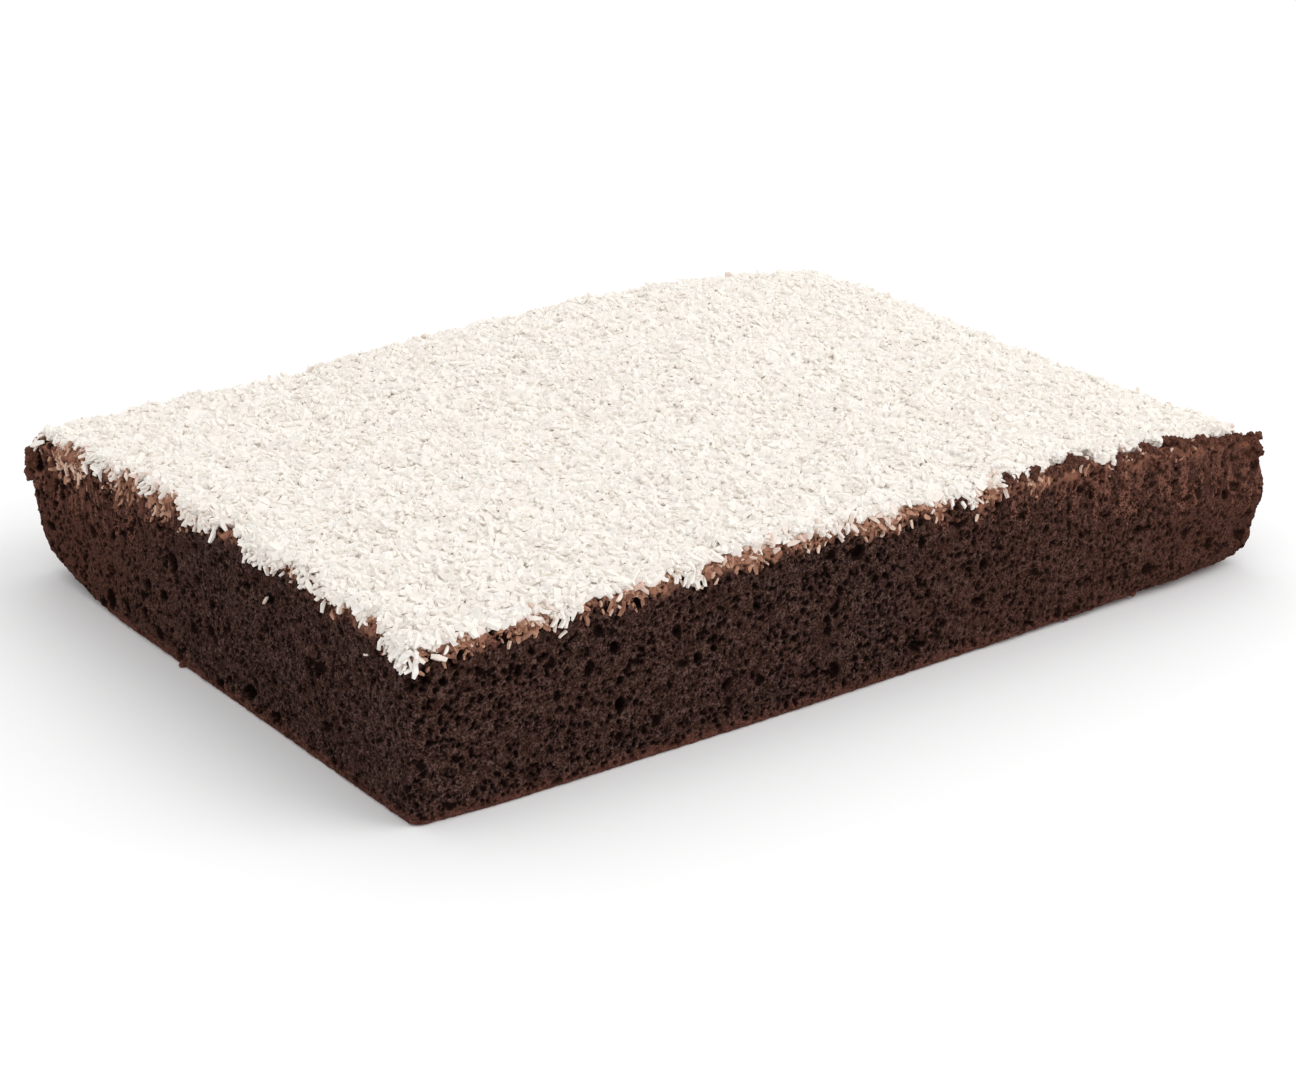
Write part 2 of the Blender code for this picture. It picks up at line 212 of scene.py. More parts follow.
def drawn_back(x, y):
    """A spot of the coconut, moved inward where it stops short of the edge."""
    left, right, near, far = x + HALF_X, HALF_X - x, y + HALF_Y, HALF_Y - y
    at_left, at_right, at_near, at_far = (fading(1.0, GAP_FADE, away) for away in (left, right, near, far))
    x += (left_gap(y) + fading(*FAR_LEFT_BARE, far)) * at_left
    x -= fading(*NEAR_RIGHT_BARE, near) * at_right
    y += near_gap(x) * at_near - fading(*FAR_LEFT_DROP, left) * at_far
    return x, y


def bare_rim(x, y):
    """How far the coconut stops short of the edge there."""
    return math.dist((x, y), drawn_back(x, y))


def glaze(x, y):
    """How much the glaze soaked in under the rim: patchy, and less at the right end and the near left."""
    dry = fading(1.0, LEFT_END_REACH, x + HALF_X) * clamped((DRY_END - y) / DRY_RUN)
    thinned = 1 - FADE_SHARE * max(0.0, (x - FADE_START) / FADE_RUN)
    return clamped(uneven(GLAZE_WAVES, x, y)) * (1 - DRY_SHARE * dry) * thinned


def ramp(low, high, values):
    """Rises smoothly from 0 at low to 1 at high."""
    share = np.clip((values - low) / (high - low), 0.0, 1.0)
    return share * share * (3 - 2 * share)


def stray(points):
    """Points moved as far as the cuts stray from the rectangle there."""
    x, y = points[:, 0], points[:, 1]
    start, full, fade, end = NEAR_BOW_SPAN
    moved = points.copy()
    moved[:, 1] -= NEAR_BOW * ramp(start, full, x) * (1 - ramp(fade, end, x)) * ramp(0.0, -HALF_Y, y)
    for side, flare, reach in FLARES:
        away = np.hypot(x - side * HALF_X, y + side * HALF_Y)
        share = np.maximum(0.0, 1 - away / reach) ** 2
        moved[:, :2] += share[:, None] * np.array(flare)
    return moved


def outline(spacings):
    """Plan of the cake as (x, y, normal x, normal y) rows, and the row at which each side starts."""
    signs = ((-1, -1), (1, -1), (1, 1), (-1, 1))
    rows, starts = [], []
    for turn, spacing in enumerate(spacings):
        starts.append(len(rows))
        middle = math.pi + (turn + 1) * math.pi / 2
        ends = []
        for corner in (turn, (turn + 1) % 4):
            (sx, sy), radius = signs[corner], CORNER_RADII[corner]
            ends.append((Vector((sx * (HALF_X - radius), sy * (HALF_Y - radius))), radius))
        (start, r0), (end, r1) = ends
        side = [(start, r0, middle - math.pi / 4 * (1 - step / CORNER_STEPS)) for step in range(CORNER_STEPS)]
        count = round((end - start).length / spacing)
        for i in range(count):
            share = i / count
            side.append((start.lerp(end, share), between(r0, r1, share), middle))
        side += [(end, r1, middle + math.pi / 4 * step / CORNER_STEPS) for step in range(CORNER_STEPS)]
        for centre, radius, angle in side:
            normal = Vector((math.cos(angle), math.sin(angle)))
            rows.append((*(centre + normal * radius), *normal))
    return rows, starts


# ---- Meshes ----
def linked(name, data):
    made = bpy.data.objects.new(name, data)
    bpy.context.scene.collection.objects.link(made)
    return made


def mesh_object(name, points, faces):
    mesh = bpy.data.meshes.new(name)
    mesh.from_pydata(points, [], faces)
    return linked(name, mesh)


def shape_mesh(name, shape):
    mesh = bpy.data.meshes.new(name)
    shape.to_mesh(mesh)
    shape.free()
    return mesh


def point_attributes(mesh, **named):
    """Gives each point of a mesh its value or vector under each name."""
    for name, values in named.items():
        values = np.asarray(values, dtype=np.float32)
        kind, field = ("FLOAT", "value") if values.ndim == 1 else ("FLOAT_VECTOR", "vector")
        mesh.attributes.new(name, kind, "POINT").data.foreach_set(field, values.ravel())


def sponge_profile(x, y, nx, ny):
    """The cake's side in section at one place of the outline, evenly divided from base to top."""
    ix, iy = inward(x, y)
    curl = corner_curl(x, y)
    high, deep = LOWER_EDGE_RADIUS + CURL_HEIGHT_SHARE * curl, LOWER_EDGE_RADIUS + CURL_INSET_SHARE * curl
    top = rim_height(x, y)
    line = []
    for step in range(LOWER_EDGE_STEPS + 1):
        turn = step / LOWER_EDGE_STEPS * math.pi / 2
        inset = deep * (1 - math.sin(turn))
        line.append((x + ix * inset, y + iy * inset, high * (1 - math.cos(turn))))
    shoulder = top - RIM_RADIUS
    line += [(x, y, between(high, shoulder, step / UPRIGHT_STEPS)) for step in range(1, UPRIGHT_STEPS + 1)]
    for step in range(1, RIM_STEPS + 1):
        turn = step / RIM_STEPS * math.pi / 2
        inset = RIM_RADIUS * (1 - math.cos(turn))
        line.append((x - nx * inset, y - ny * inset, shoulder + RIM_RADIUS * math.sin(turn)))
    line = np.array(line)
    along = np.concatenate(([0.0], np.cumsum(np.linalg.norm(np.diff(line, axis=0), axis=1))))
    even = np.linspace(0, along[-1], PROFILE_ROWS)
    section = np.stack([np.interp(even, along, line[:, axis]) for axis in range(3)], axis=1)
    torn = right_end_share(x)
    for point in section:
        z = point[2]
        upright = max(0.0, 4 * (z / CORNER_HEIGHTS[0]) * (1 - z / CORNER_HEIGHTS[0]))
        ends = min(1.0, z / RELIEF_FADES[0]) * clamped((top - z) / RELIEF_FADES[1])
        relief = between(SIDE_RELIEF, TORN_RELIEF, torn) * wave(x, y, z, SIDE_RELIEF_SPAN)
        out = ends * (relief + RIGHT_SIDE_SWELL * max(0.0, nx) * torn * upright)
        point[0] += nx * out
        point[1] += ny * out
    return section, top


# A column's rows under the base and over the top, as shares of the way out from the middle
BASE_SHARES = (0.0, 0.35, 0.60, 0.78, 0.88, 0.94, 0.97, 0.985)
TOP_SHARES = (0.988, 0.974, 0.95, 0.90, 0.78, 0.55, 0.0)
TOP_BLEND_START, TOP_BLEND_RUN = 0.95, 0.05
POROUS_TOP_ROWS = 3
POROUS_FROM = 0.0018


def sponge_skin():
    """The sponge's skin in columns round its outline, each from the base's middle to the top's."""
    plan, starts = outline(SIDE_SPACINGS)
    columns, rims, glazed = [], [], []
    for x, y, nx, ny in plan:
        section, top = sponge_profile(x, y, nx, ny)
        glazed.append(glaze(x, y))
        low, high = section[0], section[-1]
        under = [(low[0] * share, low[1] * share, 0.0) for share in BASE_SHARES]
        over = []
        for share in TOP_SHARES:
            px, py = high[0] * share, high[1] * share
            blend = max(0.0, (share - TOP_BLEND_START) / TOP_BLEND_RUN)
            over.append((px, py, between(top_height(px, py), high[2], blend)))
        columns.append(np.concatenate([under, section, over]))
        rims.append(top)
    grid = np.array(columns)
    out = np.cross(np.roll(grid, -1, axis=0) - np.roll(grid, 1, axis=0), np.gradient(grid, axis=1))
    out /= np.maximum(np.linalg.norm(out, axis=2, keepdims=True), 1e-12)
    below_rim = np.array(rims)[:, None] - grid[:, :, 2]
    glazed = np.repeat(np.array(glazed)[:, None], grid.shape[1], axis=1)
    porous = np.zeros(grid.shape[:2])
    side_rows = slice(len(BASE_SHARES), len(BASE_SHARES) + PROFILE_ROWS + POROUS_TOP_ROWS)
    porous[:, side_rows] = np.clip(grid[:, side_rows, 2] / POROUS_FROM, 0.0, 1.0)
    return grid, out, porous, below_rim, glazed, starts


def sponge_wedge(name, grid, out, porous, below_rim, glazed):
    """A closed wedge of the sponge, from its middle out to the columns given."""
    count, rows = grid.shape[:2]
    index = np.arange(count * rows).reshape(count, rows)
    base, crown = index[0, 0], index[0, -1]
    index[:, 0], index[:, -1] = base, crown
    faces = []
    for a, b in zip(index, index[1:]):
        faces.append((base, b[1], a[1]))
        faces += [(a[j], b[j], b[j + 1], a[j + 1]) for j in range(1, rows - 2)]
        faces.append((a[-2], b[-2], crown))
    faces.append(tuple(index[0]))
    faces.append(tuple(index[-1][::-1]))
    kept = np.zeros(count * rows, dtype=bool)
    kept[index.ravel()] = True
    renumber = np.cumsum(kept) - 1
    faces = [tuple(int(renumber[k]) for k in face) for face in faces]
    wedge = mesh_object(name, grid.reshape(-1, 3)[kept].tolist(), faces)
    out = out.reshape(-1, 3)[kept]
    porous, below_rim, glazed = (values.ravel()[kept] for values in (porous, below_rim, glazed))
    point_attributes(wedge.data, out=out, porous=porous, below_rim=below_rim, glazed=glazed)
    wedge.data.shade_smooth()
    return wedge


def rounded_plan(x, y, half_x, half_y, radius):
    """Pulls a spot into the rounded corners of a plan, and gives the outward direction there."""
    dx, dy = abs(x) - (half_x - radius), abs(y) - (half_y - radius)
    if dx > 0 and dy > 0:
        away = math.hypot(dx, dy)
        scale = min(1.0, radius / away)
        ox, oy = math.copysign(dx / away, x), math.copysign(dy / away, y)
        px, py = half_x - radius + dx * scale, half_y - radius + dy * scale
        return math.copysign(px, x), math.copysign(py, y), ox, oy
    return (x, y, math.copysign(1, x), 0.0) if dx > dy else (x, y, 0.0, math.copysign(1, y))


# The layer's edge in section from its top to its underside: inset from the outline, share of the way
# from the coconut's surface down to the sponge's rim, how much coconut covers it, how much that hangs
# and how much of the glaze reaches it
LIP = (
    (0.0009, 0.10, 1.0, 0.1, 0.0),
    (0.0007, 0.40, 0.9, 0.25, 0.35),
    (0.0008, 0.72, 0.6, 0.45, 0.9),
    (0.0012, 1.05, 0.3, 0.5, 1.3),
)
HEM_REACH, HEM_DROP, HEM_HANG = 0.0004, 0.0003, 0.0007
SOAKED_BARE = 0.25
# The layer's underside from its edge inward: inset and depth below the sponge's top
UNDERSIDE = ((0.0022, 0.0012), (0.012, 0.0006), (0.040, 0.0006), (0.075, 0.0006))
CORE_INSET, CORE_CORNER, CORE_SINK, CORE_TONE = 0.0015, 0.003, 0.0001, 0.5


def coconut_core(name):
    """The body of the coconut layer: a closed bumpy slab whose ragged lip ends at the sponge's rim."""
    half_x, half_y = HALF_X - CORE_INSET, HALF_Y - CORE_INSET
    nx, ny = round(2 * half_x / CORE_SPACING), round(2 * half_y / CORE_SPACING)
    points, cover, hang, soaked = [], [], [], []

    def spot(i, j):
        return rounded_plan((2 * i / nx - 1) * half_x, (2 * j / ny - 1) * half_y, half_x, half_y, CORE_CORNER)

    def put(x, y, z, covered=0.0, hanging=0.0, soak=0.0):
        points.append((x, y, z))
        cover.append(covered)
        hang.append(hanging)
        soaked.append(soak)
        return len(points) - 1

    ring = [(i, 0) for i in range(nx)] + [(nx, j) for j in range(ny)]
    ring += [(i, ny) for i in range(nx, 0, -1)] + [(0, j) for j in range(ny, 0, -1)]
    number = {}
    for i in range(nx + 1):
        for j in range(ny + 1):
            x, y = drawn_back(*spot(i, j)[:2])
            number[i, j] = put(x, y, layer_height(x, y) - CORE_SINK + uneven(CORE_WAVES, x, y), 1.0)
    faces = [
        (number[i, j], number[i + 1, j], number[i + 1, j + 1], number[i, j + 1])
        for i in range(nx)
        for j in range(ny)
    ]
    loops = [[number[place] for place in ring]]
    for inset, fall, covered, hanging, soak in LIP:
        loop = []
        for i, j in ring:
            x, y, ox, oy = spot(i, j)
            hem = uneven(HEM_WAVES, x, y)
            reach = CORE_INSET - inset + HEM_REACH * hem
            glazed = glaze(x, y)
            x, y = drawn_back(x + ox * reach, y + oy * reach)
            low = rim_height(x, y) - HEM_DROP - HEM_HANG * hem
            z = between(layer_height(x, y) - CORE_SINK, low, fall)
            loop.append(put(x, y, z, covered * (1 - SOAKED_BARE * soak * glazed), hanging, soak * glazed))
        loops.append(loop)
    for inset, drop in UNDERSIDE:
        loop = []
        for i, j in ring:
            x, y, ox, oy = spot(i, j)
            share = 1 - inset / HALF_Y
            x, y = x * share, y * share
            loop.append(put(x, y, top_height(x, y) - drop))
        loops.append(loop)
    for upper, lower in zip(loops, loops[1:]):
        for k in range(len(ring)):
            n = (k + 1) % len(ring)
            faces.append((upper[n], upper[k], lower[k], lower[n]))
    faces.append(tuple(reversed(loops[-1])))
    core = mesh_object(name, points, faces)
    point_attributes(core.data, cover=cover, hang=hang, soaked=soaked, tone=[CORE_TONE] * len(points))
    core.data.shade_smooth()
    return core


# ---- Geometry Nodes ----
class Tree:
    """Short calls for adding nodes to a tree and joining them."""

    def __init__(self, tree):
        self.tree = tree

    def add(self, kind, inputs=(), **settings):
        node = self.tree.nodes.new(kind)
        for name, value in settings.items():
            setattr(node, name, value)
        for key, value in dict(inputs).items():
            if isinstance(value, bpy.types.NodeSocket):
                self.tree.links.new(value, node.inputs[key])
            else:
                node.inputs[key].default_value = value
        return node

    def math(self, operation, a, b=0.0, clamp=False):
        return self.add("ShaderNodeMath", {0: a, 1: b}, operation=operation, use_clamp=clamp).outputs[0]

    def times(self, a, b):
        return self.math("MULTIPLY", a, b)

    def attribute(self, name, kind="FLOAT"):
        return self.add("GeometryNodeInputNamedAttribute", {"Name": name}, data_type=kind).outputs[0]

    def vector(self, operation, a, b=(0.0, 0.0, 0.0)):
        node = self.add("ShaderNodeVectorMath", {0: a, 1: b}, operation=operation)
        return node.outputs["Value" if operation in ("DOT_PRODUCT", "LENGTH") else "Vector"]

    def scaled(self, a, share):
        return self.add("ShaderNodeVectorMath", {0: a, "Scale": share}, operation="SCALE").outputs["Vector"]

    def map(self, value, low, high, to_low=0.0, to_high=1.0):
        inputs = {"Value": value, "From Min": low, "From Max": high, "To Min": to_low, "To Max": to_high}
        return self.add("ShaderNodeMapRange", inputs).outputs["Result"]

    def store(self, geometry, name, value, domain):
        """Keeps a value under a name, on each point or each instance."""
        inputs = {"Geometry": geometry, "Name": name, "Value": value}
        settings = {"data_type": "FLOAT", "domain": domain}
        return self.add("GeometryNodeStoreNamedAttribute", inputs, **settings).outputs[0]

    def finish(self, geometry, material):
        """Ends a tree: instances made real, then given their material."""
        real = self.add("GeometryNodeRealizeInstances", {"Geometry": geometry}).outputs[0]
        done = self.add("GeometryNodeSetMaterial", {"Geometry": real, "Material": material}).outputs[0]
        self.add("NodeGroupOutput", {"Geometry": done})


def socket(tree, name, kind, default=None, into=True):
    way = "INPUT" if into else "OUTPUT"
    made = tree.interface.new_socket(name=name, in_out=way, socket_type="NodeSocket" + kind)
    if default is not None:
        made.default_value = default


def geometry_tree(name, numbers):
    """A tree from geometry to geometry with number inputs and a finish, still empty."""
    tree = bpy.data.node_groups.new(name, "GeometryNodeTree")
    socket(tree, "Geometry", "Geometry")
    for label, default in numbers:
        socket(tree, label, "Float", default)
    socket(tree, "Finish", "Material")
    socket(tree, "Geometry", "Geometry", into=False)
    return tree


# How a bubble strays from round, how rare the large ones are, and where a pore's painted shade starts and ends
BUBBLE_BEND_SCALE, BUBBLE_BEND = 1.3, 0.55
BUBBLE_RARITY = 1.6
PORE_EDGE, PORE_FULL_SHADE = 1.45, 0.95

# The three sizes of bubble: input with its spacing, least and most radius as shares of that, how many
# cells hold one, and a shift
BUBBLES = (
    ("Fine Spacing", 0.24, 0.58, 0.75, (0.0, 0.0, 0.0)),
    ("Middle Spacing", 0.17, 0.45, 0.56, (0.31, 0.17, 0.05)),
    ("Large Spacing", 0.12, 0.29, 0.85, (0.12, 0.45, 0.23)),
)


def bubble_group():
    """How deep a cut surface falls into one size of air bubble, and how much painted shade it gets there: each
    cell of space may hold a round one.
    """
    tree = bpy.data.node_groups.new("bubble_depth", "GeometryNodeTree")
    for name, default in (("Spacing", 0.002), ("Smallest", 0.0003), ("Largest", 0.001), ("Share", 0.5)):
        socket(tree, name, "Float", default)
    socket(tree, "Shift", "Vector", (0.0, 0.0, 0.0))
    socket(tree, "Depth", "Float", into=False)
    socket(tree, "Dark", "Float", into=False)
    t = Tree(tree)
    given = t.add("NodeGroupInput").outputs
    spot = t.add("GeometryNodeInputPosition").outputs[0]
    out = t.attribute("out", "FLOAT_VECTOR")
    scale = t.math("DIVIDE", BUBBLE_BEND_SCALE, given["Spacing"])
    bend = t.add("ShaderNodeTexNoise", {"Vector": spot, "Scale": scale}).outputs["Color"]
    reach = t.times(given["Spacing"], BUBBLE_BEND)
    bend = t.scaled(t.vector("SUBTRACT", bend, (0.5, 0.5, 0.5)), reach)
    shifted = t.vector("ADD", t.vector("ADD", spot, bend), given["Shift"])
    scale = t.math("DIVIDE", 1.0, given["Spacing"])
    cells = t.add("ShaderNodeTexVoronoi", {"Vector": shifted, "Scale": scale})
    centre = t.vector("SUBTRACT", cells.outputs["Position"], shifted)
    chance = t.add("ShaderNodeSeparateXYZ", {0: cells.outputs["Color"]}).outputs
    rarity = t.math("POWER", chance[1], BUBBLE_RARITY)
    size = t.map(rarity, 0.0, 1.0, given["Smallest"], given["Largest"])
    radius = t.times(size, t.math("LESS_THAN", chance[0], given["Share"]))
    below = t.times(t.vector("DOT_PRODUCT", centre, out), -1.0)
    away = t.vector("DOT_PRODUCT", centre, centre)
    round_part = t.math("SUBTRACT", t.times(radius, radius), away)
    far_wall = t.math("ADD", t.times(below, below), round_part)
    fall = t.math("ADD", below, t.math("SQRT", t.math("MAXIMUM", far_wall, 0.0)))
    depth = t.times(t.math("MAXIMUM", fall, 0.0), t.math("GREATER_THAN", round_part, 0.0))
    share = t.math("DIVIDE", away, t.math("MAXIMUM", t.times(radius, radius), 1e-12))
    t.add("NodeGroupOutput", {"Depth": depth, "Dark": t.map(share, PORE_EDGE, PORE_FULL_SHADE)})
    return tree


def crumb_tree():
    """Opens the crumb: cuts bubbles of three sizes into the sides, and roughens the walls between them."""
    bubbles = bubble_group()
    spacings = ("Fine Spacing", 0.0013), ("Middle Spacing", 0.0032), ("Large Spacing", 0.0085)
    tree = geometry_tree("open_crumb", (*spacings, ("Deepest", 0.0030), ("Roughness", 0.00042)))
    t = Tree(tree)
    given = t.add("NodeGroupInput").outputs
    deepest, shade_in_pores = 0.0, 0.0
    for name, low, high, share, shift in BUBBLES:
        spacing = given[name]
        inputs = {"Spacing": spacing, "Share": share, "Shift": shift}
        inputs["Smallest"] = t.times(spacing, low)
        inputs["Largest"] = t.times(spacing, high)
        bubble = t.add("GeometryNodeGroup", inputs, node_tree=bubbles).outputs
        deepest = t.math("MAXIMUM", bubble["Depth"], deepest)
        shade_in_pores = t.math("MAXIMUM", bubble["Dark"], shade_in_pores)
    porous = t.attribute("porous")
    out = t.attribute("out", "FLOAT_VECTOR")
    spot = t.add("GeometryNodeInputPosition").outputs[0]
    depth = t.times(t.math("MINIMUM", deepest, given["Deepest"]), porous)
    grit = {"Vector": spot, "Scale": 450.0, "Detail": 4.0, "Roughness": 0.72}
    grain = t.add("ShaderNodeTexNoise", grit).outputs[0]
    level = t.map(porous, 0.0, 1.0, 0.75, 0.5)
    rough = t.times(t.math("SUBTRACT", grain, level), t.times(given["Roughness"], 5.0))
    rough = t.times(rough, t.map(porous, 0.0, 1.0, 0.25, 1.0))
    offset = t.scaled(out, t.math("SUBTRACT", rough, depth))
    # Painted shade down in the pores, kept on each point for the crumb's colour
    marked = t.store(given["Geometry"], "pore", t.times(shade_in_pores, porous), "POINT")
    moved = t.add("GeometryNodeSetPosition", {"Geometry": marked, "Offset": offset}).outputs[0]
    t.finish(moved, given["Finish"])
    return tree


DROOP, DROOP_POWER = 3.0, 1.5
LEAN_RARITY = 1.8
ROLL = 0.7


def shred_tree():
    """Scatters shreds over a surface: lying with it, leaning out of it, or hanging where it says so."""
    sizes = ("Per Square Metre", 100000.0), ("Least Size", 0.8), ("Most Size", 1.25)
    places = ("Lean", 0.8), ("Least Lift", 0.0), ("Most Lift", 0.0008)
    tree = geometry_tree("scatter_shreds", sizes + places)
    socket(tree, "Shreds", "Collection")
    socket(tree, "Seed", "Int", 1)
    t = Tree(tree)
    given = t.add("NodeGroupInput").outputs
    cover = t.attribute("cover")
    hang = t.attribute("hang")
    density = t.times(given["Per Square Metre"], cover)
    inputs = {"Mesh": given["Geometry"], "Density": density, "Seed": given["Seed"]}
    spread = t.add("GeometryNodeDistributePointsOnFaces", inputs, distribute_method="RANDOM").outputs
    normal = spread["Normal"]

    def chance(low, high, step):
        seed = t.math("ADD", given["Seed"], float(step))
        return t.add("FunctionNodeRandomValue", {2: low, 3: high, "Seed": seed}, data_type="FLOAT").outputs[1]

    ways = {0: (-1.0, -1.0, -1.0), 1: (1.0, 1.0, 1.0), "Seed": t.math("ADD", given["Seed"], 10.0)}
    anywhere = t.add("FunctionNodeRandomValue", ways, data_type="FLOAT_VECTOR").outputs[0]
    drop = t.times(t.math("POWER", hang, DROOP_POWER), DROOP)
    way = t.vector("ADD", anywhere, t.scaled((0.0, 0.0, -1.0), drop))
    flat = t.vector("SUBTRACT", way, t.scaled(normal, t.vector("DOT_PRODUCT", way, normal)))
    lean = t.times(given["Lean"], t.math("POWER", chance(0.0, 1.0, 20), LEAN_RARITY))
    along = t.vector("ADD", t.vector("NORMALIZE", flat), t.scaled(normal, lean))
    turn = t.add("FunctionNodeAlignRotationToVector", {"Vector": along}, axis="X").outputs[0]
    turn = t.add(
        "FunctionNodeAlignRotationToVector", {"Rotation": turn, "Vector": normal}, axis="Z", pivot_axis="X"
    ).outputs[0]
    roll = t.add("ShaderNodeCombineXYZ", {0: chance(-ROLL, ROLL, 30)}).outputs[0]
    roll = t.add("FunctionNodeEulerToRotation", {0: roll}).outputs[0]
    turn = t.add("FunctionNodeRotateRotation", {0: turn, 1: roll}, rotation_space="LOCAL").outputs[0]
    size = chance(given["Least Size"], given["Most Size"], 40)
    kinds = t.add(
        "GeometryNodeCollectionInfo", {0: given["Shreds"], "Separate Children": True, "Reset Children": True}
    ).outputs[0]
    spots = {"Points": spread["Points"], "Instance": kinds, "Pick Instance": True}
    placed = t.add("GeometryNodeInstanceOnPoints", {**spots, "Rotation": turn, "Scale": size}).outputs[0]
    lift = t.add("ShaderNodeCombineXYZ", {2: chance(given["Least Lift"], given["Most Lift"], 50)}).outputs[0]
    placed = t.add(
        "GeometryNodeTranslateInstances", {"Instances": placed, "Translation": lift, "Local Space": True}
    ).outputs[0]
    t.finish(t.store(placed, "tone", chance(0.0, 1.0, 60), "INSTANCE"), given["Finish"])
    return tree


def through_nodes(source, tree, values, name):
    """A new object with the plain mesh that a tree makes from source."""
    modifier = source.modifiers.new(tree.name, "NODES")
    modifier.node_group = tree
    named = {item.name: item.identifier for item in tree.interface.items_tree if item.in_out == "INPUT"}
    for key, value in values.items():
        modifier[named[key]] = value
    graph = bpy.context.evaluated_depsgraph_get()
    mesh = bpy.data.meshes.new_from_object(source.evaluated_get(graph))
    source.modifiers.remove(modifier)
    mesh.name = name
    return linked(name, mesh)


# ---- Shreds and crumbs ----
# Width along a shred by how many cross sections it has, as shares of its full width
SWELLS = {4: (0.62, 1.0, 0.92, 0.5), 3: (0.72, 1.0, 0.55), 2: (0.72, 1.0)}
SIDE_BEND_SHARE = 0.6
THIN_SHARE = 0.6
JUMP, LENGTHWISE_JUMP = 0.16, 1.5


def shred_shapes(name, count, lengths, widths, thickness, bend, stations, seed):
    """A few shreds of one kind in a collection of their own: blunt slivers, no two alike."""
    dice = random.Random(seed)
    kind = bpy.data.collections.new(name)
    for number in range(count):
        length, width = dice.uniform(*lengths), dice.uniform(*widths)
        curve = dice.uniform(-bend, bend)
        side = dice.uniform(-bend, bend) * SIDE_BEND_SHARE
        shape = bmesh.new()
        rings = []
        for k in range(stations):
            t = k / (stations - 1)
            swell = SWELLS[stations][k] * dice.uniform(0.85, 1.15)
            w, h = width / 2 * swell, thickness / 2 * between(THIN_SHARE, 1.0, swell)
            x = (t - 0.5) * length
            y = side * length * (4 * t * (1 - t) - 0.5)
            z = curve * length * (4 * t * (1 - t) - 0.5)
            ring = []
            for a, b in ((-1, -1), (1, -1), (1, 1), (-1, 1)):
                jump = [dice.uniform(-JUMP, JUMP) * thickness for _ in range(3)]
                along = x + jump[0] * LENGTHWISE_JUMP
                ring.append(shape.verts.new((along, y + a * w + jump[1], z + b * h + jump[2])))
            rings.append(ring)
        for low, high in zip(rings, rings[1:]):
            for i in range(4):
                j = (i + 1) % 4
                shape.faces.new((low[i], low[j], high[j], high[i]))
        shape.faces.new(reversed(rings[0]))
        shape.faces.new(rings[-1])
        bmesh.ops.recalc_face_normals(shape, faces=shape.faces)
        shred = f"{name}_{number}"
        kind.objects.link(bpy.data.objects.new(shred, shape_mesh(shred, shape)))
    return kind


CRAG, CRAG_SCALE = 0.42, 1.7
GRIT, GRIT_SCALE = 0.26, 4.0
COARSE_CRUMB = 0.0008


def crumb_heap(name, spots, seed):
    """Torn crumbs as one piece: (x, y, z, radius) lumps with craggy faces."""
    dice = random.Random(seed)
    shape = bmesh.new()
    for x, y, z, radius in spots:
        finer = 3 if radius > COARSE_CRUMB else 2
        made = bmesh.ops.create_icosphere(shape, subdivisions=finer, radius=1.0)
        stretch = Matrix.Diagonal((dice.uniform(0.75, 1.2), dice.uniform(0.75, 1.2), dice.uniform(0.7, 1.05)))
        turn = Euler([dice.uniform(0, math.tau) for _ in range(3)]).to_matrix() @ stretch
        shift = dice.uniform(0, 50)
        for corner in made["verts"]:
            way = corner.co.normalized()
            crag = 1 + CRAG * noise.noise(way * CRAG_SCALE + Vector((shift, 0, 0)))
            crag += GRIT * noise.noise(way * GRIT_SCALE + Vector((0, shift, 0)))
            corner.co = Vector((x, y, z)) + turn @ (way * radius * crag)
            corner.co.z = max(0.0, corner.co.z)
    return linked(name, shape_mesh(name, shape))


# The two torn corners: place, how many crumbs, least and most lift, spread, drop below the top, radii
TORN_CORNERS = (
    ((-HALF_X + 0.0006, HALF_Y - 0.0006), 34, (-0.0032, 0.0032), 0.0024, 0.0068, (0.0009, 0.0019)),
    ((HALF_X - 0.0008, -HALF_Y + 0.0008), 26, (-0.0045, 0.0032), 0.0021, 0.0020, (0.0006, 0.0013)),
)
RIM_CRUMBS, RIM_CRUMB_START, RIM_CRUMB_RADII = 330, 0.036, (0.0005, 0.0014)
RIM_CRUMB_INSETS = (0.0003, 0.0012)
RIM_PEAK, RIM_PEAK_SPAN = 0.0014, 0.006
LEAST_GAP = 0.0006
# Crumbs under the rim and along the lower edge: spacing, share of places that have one, radii
UNDER_RIM = (0.0042, 0.55, (0.0004, 0.0009))
UNDER_RIM_DROPS = (0.0022, 0.0060)
LOWER_EDGE = (0.0060, 0.07, (0.0006, 0.0011))
EDGE_MIDDLE = 0.29


